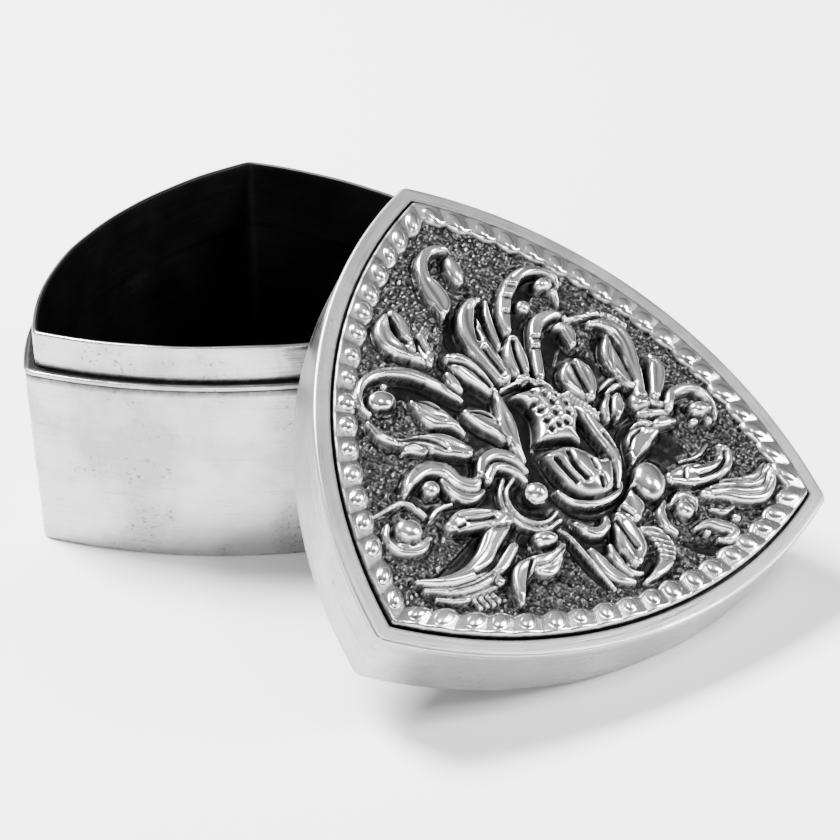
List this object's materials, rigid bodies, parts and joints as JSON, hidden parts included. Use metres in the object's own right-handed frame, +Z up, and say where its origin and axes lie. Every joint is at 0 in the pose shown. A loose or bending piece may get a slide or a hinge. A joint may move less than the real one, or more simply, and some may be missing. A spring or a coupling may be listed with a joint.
{
  "type": "trinket box",
  "caption": "Small three-sided silver trinket box with bulging sides, a raised collar and a loose lift-off lid chased with a bloom and scrolling leaves.",
  "frame": {"origin": "middle of the plan, on the underside of the box", "axes": "+Z up out of the box, +Y towards the back corner of the three-sided plan, +X to the right"},
  "size_m": [0.0743, 0.0834, 0.0338],
  "materials": {
    "polished_silver": "polished sterling silver with fine wear scratches",
    "satin_silver": "satin silver, lightly brushed",
    "oxidised_silver": "chased silver, blackened in the recesses and burnished on the high points"
  },
  "bodies": {
    "box": {"base_plate": "satin_silver", "body_wall": "polished_silver", "seat_rim": "polished_silver", "collar": "polished_silver"},
    "lid_carrier": {"lid_berry": "oxidised_silver"},
    "lid": {"lid_skirt": "polished_silver", "lid_frame": "satin_silver", "lid_panel": "oxidised_silver"}
  },
  "joints": [
    {"name": "lid_swing", "type": "hinge", "parent": "box", "child": "lid_carrier", "pos_m": [0.01471, -0.01953, 0.02513], "axis": [-0.7968, -0.6004, 0.0685], "range_deg": [0, 204.7]},
    {"name": "lid_turn", "type": "hinge", "parent": "lid_carrier", "child": "lid", "pos_m": [0.02009, -0.04025, 0.0154], "axis": [0.6651, 0.7422, 0.0828], "range_deg": [0, 174]}
  ],
  "couplings": [
    {"joint": "lid_turn", "follows": "lid_swing", "ratio": 0.85}
  ]
}
